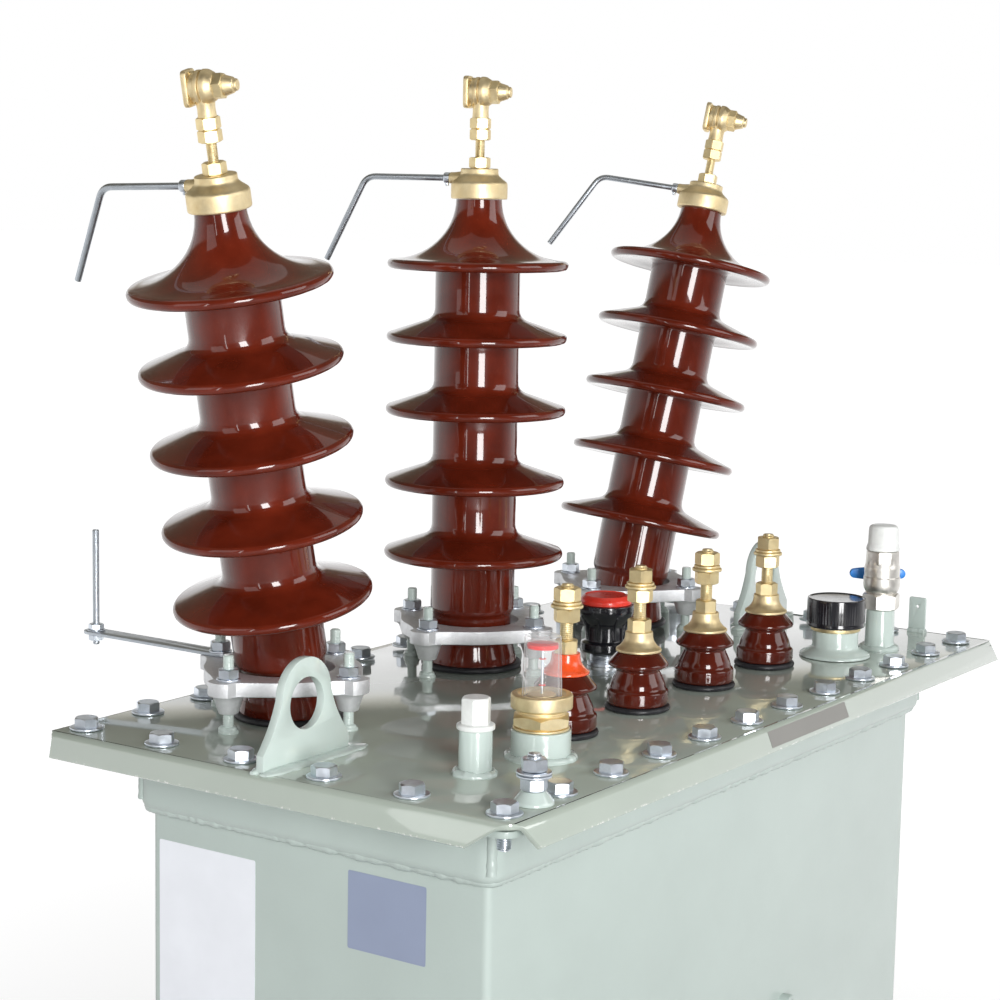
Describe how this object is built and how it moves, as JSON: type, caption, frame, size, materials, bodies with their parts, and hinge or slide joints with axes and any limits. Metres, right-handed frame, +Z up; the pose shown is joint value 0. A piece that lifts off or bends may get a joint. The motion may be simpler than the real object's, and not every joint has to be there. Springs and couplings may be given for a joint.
{
  "type": "power transformer",
  "caption": "Small oil-filled distribution transformer with a bolted cover, leaning high-voltage and upright low-voltage porcelain bushings, oil gauge, valve and lifting lugs.",
  "frame": {"origin": "middle of the tank's underside, on the floor it stands on", "axes": "+Z up, +X along the tank towards the drain valve end, the low-voltage side faces -Y"},
  "size_m": [0.919, 0.6018, 1.2886],
  "materials": {
    "paint": "smooth semi-gloss enamel",
    "gasket_rubber": "matt black",
    "brown_glaze": "high-gloss brown glaze",
    "brass": "cast and turned, satin",
    "zinc_plate": "bright zinc plate",
    "cast_aluminium": "sand cast, linished edge",
    "nickel_plate": "satin nickel plate",
    "black_plastic": "moulded, glossy",
    "white_plastic": "moulded, semi-matt",
    "red_plastic": "moulded, semi-gloss",
    "blue_plastic": "moulded lever",
    "clear_plastic": "clear moulded tube"
  },
  "bodies": {
    "transformer": {"tank_body": "paint", "tank_floor": "paint", "foot_left": "paint", "foot_right": "paint", "rim_frame": "paint", "cover_plate": "paint", "filler_stub": "paint", "gauge_socket": "paint", "pocket_socket": "paint", "valve_stub": "paint", "lifting_lug_left": "paint", "lifting_lug_right": "paint", "earth_tab": "paint", "earth_stud": "paint", "cover_gasket": "gasket_rubber", "hv_seat_left": "gasket_rubber", "hv_seat_middle": "gasket_rubber", "hv_seat_right": "gasket_rubber", "lv_seat_1": "gasket_rubber", "lv_seat_2": "gasket_rubber", "lv_seat_3": "gasket_rubber", "lv_seat_4": "gasket_rubber", "hv_porcelain_left": "brown_glaze", "hv_porcelain_middle": "brown_glaze", "hv_porcelain_right": "brown_glaze", "lv_porcelain_1": "brown_glaze", "lv_porcelain_2": "brown_glaze", "lv_porcelain_3": "brown_glaze", "lv_porcelain_4": "brown_glaze", "hv_terminal_left": "brass", "hv_terminal_middle": "brass", "hv_terminal_right": "brass", "lv_terminal_1": "brass", "lv_terminal_2": "brass", "lv_terminal_3": "brass", "lv_terminal_4": "brass", "gauge_nut": "brass", "pocket_ring": "brass", "upper_horn_left": "zinc_plate", "upper_horn_middle": "zinc_plate", "upper_horn_right": "zinc_plate", "lower_horn": "zinc_plate", "relief_adapter": "zinc_plate", "hv_clamp_left": "cast_aluminium", "hv_clamp_middle": "cast_aluminium", "hv_clamp_right": "cast_aluminium", "valve_body": "nickel_plate", "relief_body": "black_plastic", "pocket_cap": "black_plastic", "filler_plug": "white_plastic", "valve_cap": "white_plastic", "relief_disc": "red_plastic", "gauge_glass": "clear_plastic"},
    "valve_handle": {"valve_handle": "blue_plastic"}
  },
  "joints": [
    {"name": "valve_turn", "type": "hinge", "parent": "transformer", "child": "valve_handle", "pos_m": [0.333, -0.167, 0.7925], "axis": [0.8251, 0.565, 0], "range_deg": [0, 90]}
  ]
}
